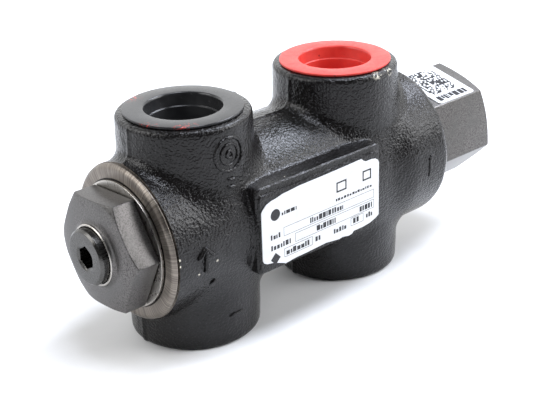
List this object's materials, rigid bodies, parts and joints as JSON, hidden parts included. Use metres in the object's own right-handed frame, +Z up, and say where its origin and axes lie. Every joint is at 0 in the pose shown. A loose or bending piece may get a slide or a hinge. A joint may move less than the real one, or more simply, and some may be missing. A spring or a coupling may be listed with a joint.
{
  "type": "flow control valve",
  "caption": "Inline flow control valve: cast body with paired upper and lower ports, a hexagon plug with adjusting spindle at one end and a tall hexagon cap at the other.",
  "frame": {"origin": "on the resting plane of the lower port faces, at the centre of the overall length and width", "axes": "+X along the main bore from the adjusting spindle to the tall cap, +Z up out of the upper ports, -Y towards the name plate"},
  "size_m": [0.1542, 0.0512, 0.0689],
  "materials": {
    "cast_iron_paint": "rough sand-cast skin under black paint, machined faces bare",
    "phosphated_steel": "turned steel with a grey phosphate coating",
    "soft_steel": "bare flat sealing washer",
    "ground_steel": "ground bright steel",
    "spring_steel": "oiled spring steel",
    "bush_brass": "turned bronze",
    "seal_rubber": "oiled nitrile rubber",
    "white_plastic": "PTFE, waxy",
    "black_plug": "glossy moulded polyethylene",
    "red_plug": "satin moulded polyethylene",
    "label_paper": "white polyester label film"
  },
  "bodies": {
    "root": {"valve_body": "cast_iron_paint", "end_plug": "phosphated_steel", "end_plug_seal_ring": "soft_steel", "cone_guide_pin": "ground_steel", "seat_bush": "ground_steel", "seat_o_ring": "seal_rubber", "seat_retaining_ring": "spring_steel", "spring_shim": "phosphated_steel", "guide_bush": "bush_brass", "guide_bush_clip": "spring_steel", "hex_cap": "phosphated_steel", "cap_seal_ring": "soft_steel", "name_plate": "label_paper", "cap_data_label": "label_paper", "compensator_spring": "spring_steel"},
    "throttle": {"throttle_cone": "ground_steel", "cone_swivel_clip": "spring_steel"},
    "spindle": {"adjusting_spindle": "phosphated_steel", "spindle_o_ring": "seal_rubber", "spindle_backup_ring": "white_plastic", "spindle_stop_ring": "spring_steel"},
    "poppet": {"compensator_poppet": "ground_steel", "spring_plate": "phosphated_steel", "spring_plate_clip": "spring_steel"},
    "black_plug": {"port_plug_black": "black_plug"},
    "red_plug": {"port_plug_red": "red_plug"}
  },
  "joints": [
    {"name": "throttle_travel", "type": "slide", "parent": "root", "child": "throttle", "axis": [1, 0, 0], "range_m": [-0.0015, 0.0045]},
    {"name": "spindle_turn", "type": "hinge", "parent": "throttle", "child": "spindle", "pos_m": [-0.07007, 0, 0.034], "axis": [1, 0, 0], "range_deg": [-360, 1080]},
    {"name": "poppet_stroke", "type": "slide", "parent": "root", "child": "poppet", "axis": [1, 0, 0], "range_m": [0, 0.004], "stiffness_N_per_m": 4000, "springref_m": -0.004, "deforming": ["compensator_spring"]},
    {"name": "black_plug_pull", "type": "slide", "parent": "root", "child": "black_plug", "axis": [0, 0, 1], "range_m": [0, 0.025]},
    {"name": "red_plug_pull", "type": "slide", "parent": "root", "child": "red_plug", "axis": [0, 0, 1], "range_m": [0, 0.025]}
  ],
  "couplings": [
    {"joint": "spindle_turn", "follows": "throttle_travel", "rad_per_m": 4188.8}
  ]
}
